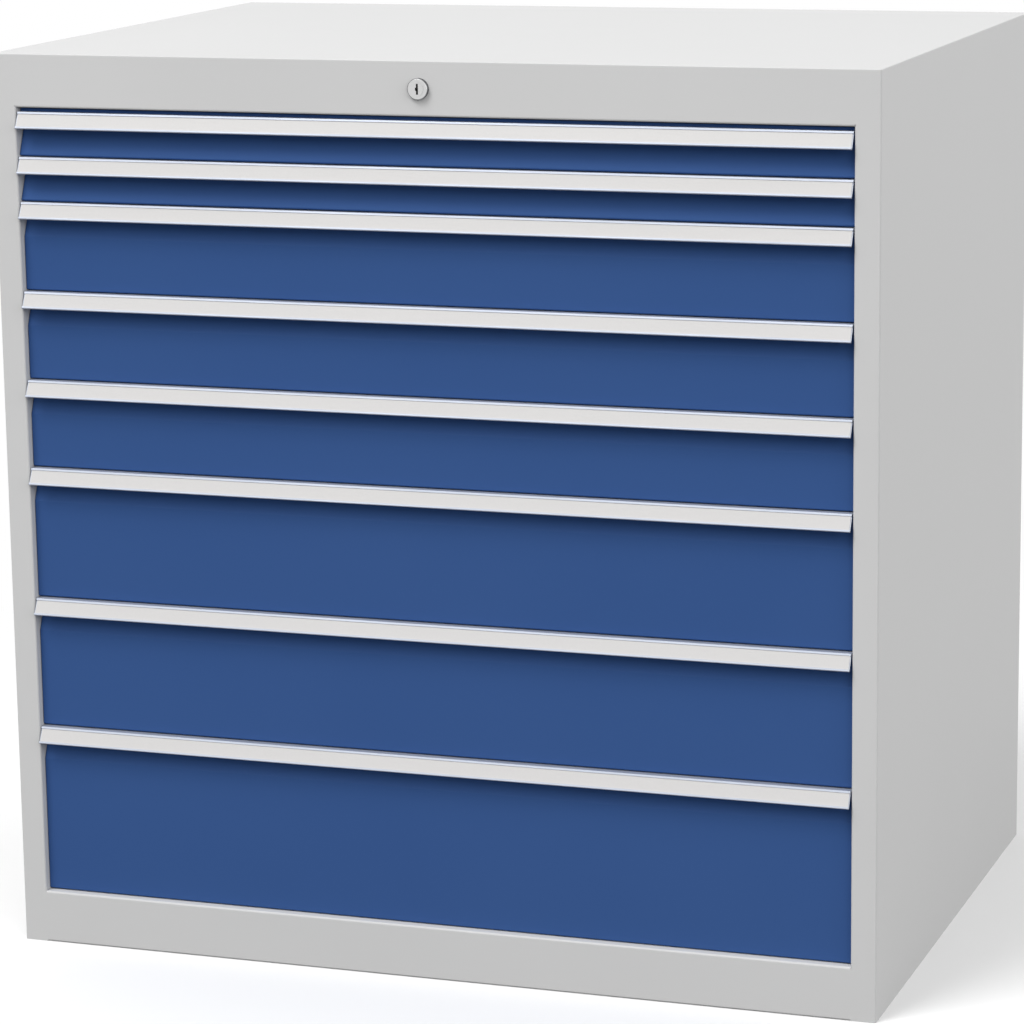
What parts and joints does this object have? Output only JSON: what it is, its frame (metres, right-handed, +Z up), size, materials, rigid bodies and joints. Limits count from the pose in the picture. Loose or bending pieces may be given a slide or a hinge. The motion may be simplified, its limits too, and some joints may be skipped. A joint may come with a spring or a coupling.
{
  "type": "multi-drawer cabinet",
  "caption": "Floor-standing steel workshop cabinet with blue drawers on telescopic slides, full-width handle strips and one central cylinder lock.",
  "frame": {"origin": "middle of the overall footprint, handles included, on the floor", "axes": "+Z up, +X to the right and +Y to the back, seen from the front; drawers open towards -Y"},
  "size_m": [1.005, 0.7428, 1.019],
  "materials": {
    "grey_paint": "fine-textured light grey powder coat",
    "blue_paint": "fine-textured mid blue powder coat",
    "tray_paint": "smooth light grey paint",
    "handle_aluminium": "satin natural anodised extrusion",
    "label_card": "off-white card strip under a clear matt film",
    "zinc_steel": "bright zinc plate",
    "lock_metal": "satin nickel plate on die-cast zinc"
  },
  "bodies": {
    "housing": {"left_side_panel": "grey_paint", "right_side_panel": "grey_paint", "top_panel": "grey_paint", "base_panel": "grey_paint", "back_panel": "grey_paint", "uprights": "zinc_steel", "cabinet_rails": "zinc_steel", "lock_housing": "lock_metal"},
    "lock_plug": {"lock_cylinder": "lock_metal", "lock_cam": "zinc_steel"},
    "lock_slider": {"lock_bar": "zinc_steel", "lock_tongues": "zinc_steel"},
    "drawer_1": {"drawer_1_tray": "tray_paint", "drawer_1_front": "blue_paint", "drawer_1_handle": "handle_aluminium", "drawer_1_label": "label_card", "drawer_1_rails": "zinc_steel"},
    "middle_rails_1": {"drawer_1_middle_rails": "zinc_steel"},
    "drawer_2": {"drawer_2_tray": "tray_paint", "drawer_2_front": "blue_paint", "drawer_2_handle": "handle_aluminium", "drawer_2_label": "label_card", "drawer_2_rails": "zinc_steel"},
    "middle_rails_2": {"drawer_2_middle_rails": "zinc_steel"},
    "drawer_3": {"drawer_3_tray": "tray_paint", "drawer_3_front": "blue_paint", "drawer_3_handle": "handle_aluminium", "drawer_3_label": "label_card", "drawer_3_rails": "zinc_steel"},
    "middle_rails_3": {"drawer_3_middle_rails": "zinc_steel"},
    "drawer_4": {"drawer_4_tray": "tray_paint", "drawer_4_front": "blue_paint", "drawer_4_handle": "handle_aluminium", "drawer_4_label": "label_card", "drawer_4_rails": "zinc_steel"},
    "middle_rails_4": {"drawer_4_middle_rails": "zinc_steel"},
    "drawer_5": {"drawer_5_tray": "tray_paint", "drawer_5_front": "blue_paint", "drawer_5_handle": "handle_aluminium", "drawer_5_label": "label_card", "drawer_5_rails": "zinc_steel"},
    "middle_rails_5": {"drawer_5_middle_rails": "zinc_steel"},
    "drawer_6": {"drawer_6_tray": "tray_paint", "drawer_6_front": "blue_paint", "drawer_6_handle": "handle_aluminium", "drawer_6_label": "label_card", "drawer_6_rails": "zinc_steel"},
    "middle_rails_6": {"drawer_6_middle_rails": "zinc_steel"},
    "drawer_7": {"drawer_7_tray": "tray_paint", "drawer_7_front": "blue_paint", "drawer_7_handle": "handle_aluminium", "drawer_7_label": "label_card", "drawer_7_rails": "zinc_steel"},
    "middle_rails_7": {"drawer_7_middle_rails": "zinc_steel"},
    "drawer_8": {"drawer_8_tray": "tray_paint", "drawer_8_front": "blue_paint", "drawer_8_handle": "handle_aluminium", "drawer_8_label": "label_card", "drawer_8_rails": "zinc_steel"},
    "middle_rails_8": {"drawer_8_middle_rails": "zinc_steel"}
  },
  "joints": [
    {"name": "lock_bar_slide", "type": "slide", "parent": "housing", "child": "lock_slider", "axis": [1, 0, 0], "range_m": [0, 0.01414]},
    {"name": "lock_turn", "type": "hinge", "parent": "housing", "child": "lock_plug", "pos_m": [0, -0.3645, 0.9895], "axis": [0, 1, 0], "range_deg": [0, 90]},
    {"name": "drawer_1_slide", "type": "slide", "parent": "housing", "child": "drawer_1", "axis": [0, -1, 0], "range_m": [0, 0.6]},
    {"name": "middle_rails_1_slide", "type": "slide", "parent": "housing", "child": "middle_rails_1", "axis": [0, -1, 0], "range_m": [0, 0.3]},
    {"name": "drawer_2_slide", "type": "slide", "parent": "housing", "child": "drawer_2", "axis": [0, -1, 0], "range_m": [0, 0.6]},
    {"name": "middle_rails_2_slide", "type": "slide", "parent": "housing", "child": "middle_rails_2", "axis": [0, -1, 0], "range_m": [0, 0.3]},
    {"name": "drawer_3_slide", "type": "slide", "parent": "housing", "child": "drawer_3", "axis": [0, -1, 0], "range_m": [0, 0.6]},
    {"name": "middle_rails_3_slide", "type": "slide", "parent": "housing", "child": "middle_rails_3", "axis": [0, -1, 0], "range_m": [0, 0.3]},
    {"name": "drawer_4_slide", "type": "slide", "parent": "housing", "child": "drawer_4", "axis": [0, -1, 0], "range_m": [0, 0.6]},
    {"name": "middle_rails_4_slide", "type": "slide", "parent": "housing", "child": "middle_rails_4", "axis": [0, -1, 0], "range_m": [0, 0.3]},
    {"name": "drawer_5_slide", "type": "slide", "parent": "housing", "child": "drawer_5", "axis": [0, -1, 0], "range_m": [0, 0.6]},
    {"name": "middle_rails_5_slide", "type": "slide", "parent": "housing", "child": "middle_rails_5", "axis": [0, -1, 0], "range_m": [0, 0.3]},
    {"name": "drawer_6_slide", "type": "slide", "parent": "housing", "child": "drawer_6", "axis": [0, -1, 0], "range_m": [0, 0.6]},
    {"name": "middle_rails_6_slide", "type": "slide", "parent": "housing", "child": "middle_rails_6", "axis": [0, -1, 0], "range_m": [0, 0.3]},
    {"name": "drawer_7_slide", "type": "slide", "parent": "housing", "child": "drawer_7", "axis": [0, -1, 0], "range_m": [0, 0.6]},
    {"name": "middle_rails_7_slide", "type": "slide", "parent": "housing", "child": "middle_rails_7", "axis": [0, -1, 0], "range_m": [0, 0.3]},
    {"name": "drawer_8_slide", "type": "slide", "parent": "housing", "child": "drawer_8", "axis": [0, -1, 0], "range_m": [0, 0.6]},
    {"name": "middle_rails_8_slide", "type": "slide", "parent": "housing", "child": "middle_rails_8", "axis": [0, -1, 0], "range_m": [0, 0.3]}
  ],
  "couplings": [
    {"joint": "lock_turn", "follows": "lock_bar_slide", "rad_per_m": 111.07},
    {"joint": "middle_rails_1_slide", "follows": "drawer_1_slide", "ratio": 0.5},
    {"joint": "middle_rails_2_slide", "follows": "drawer_2_slide", "ratio": 0.5},
    {"joint": "middle_rails_3_slide", "follows": "drawer_3_slide", "ratio": 0.5},
    {"joint": "middle_rails_4_slide", "follows": "drawer_4_slide", "ratio": 0.5},
    {"joint": "middle_rails_5_slide", "follows": "drawer_5_slide", "ratio": 0.5},
    {"joint": "middle_rails_6_slide", "follows": "drawer_6_slide", "ratio": 0.5},
    {"joint": "middle_rails_7_slide", "follows": "drawer_7_slide", "ratio": 0.5},
    {"joint": "middle_rails_8_slide", "follows": "drawer_8_slide", "ratio": 0.5}
  ]
}
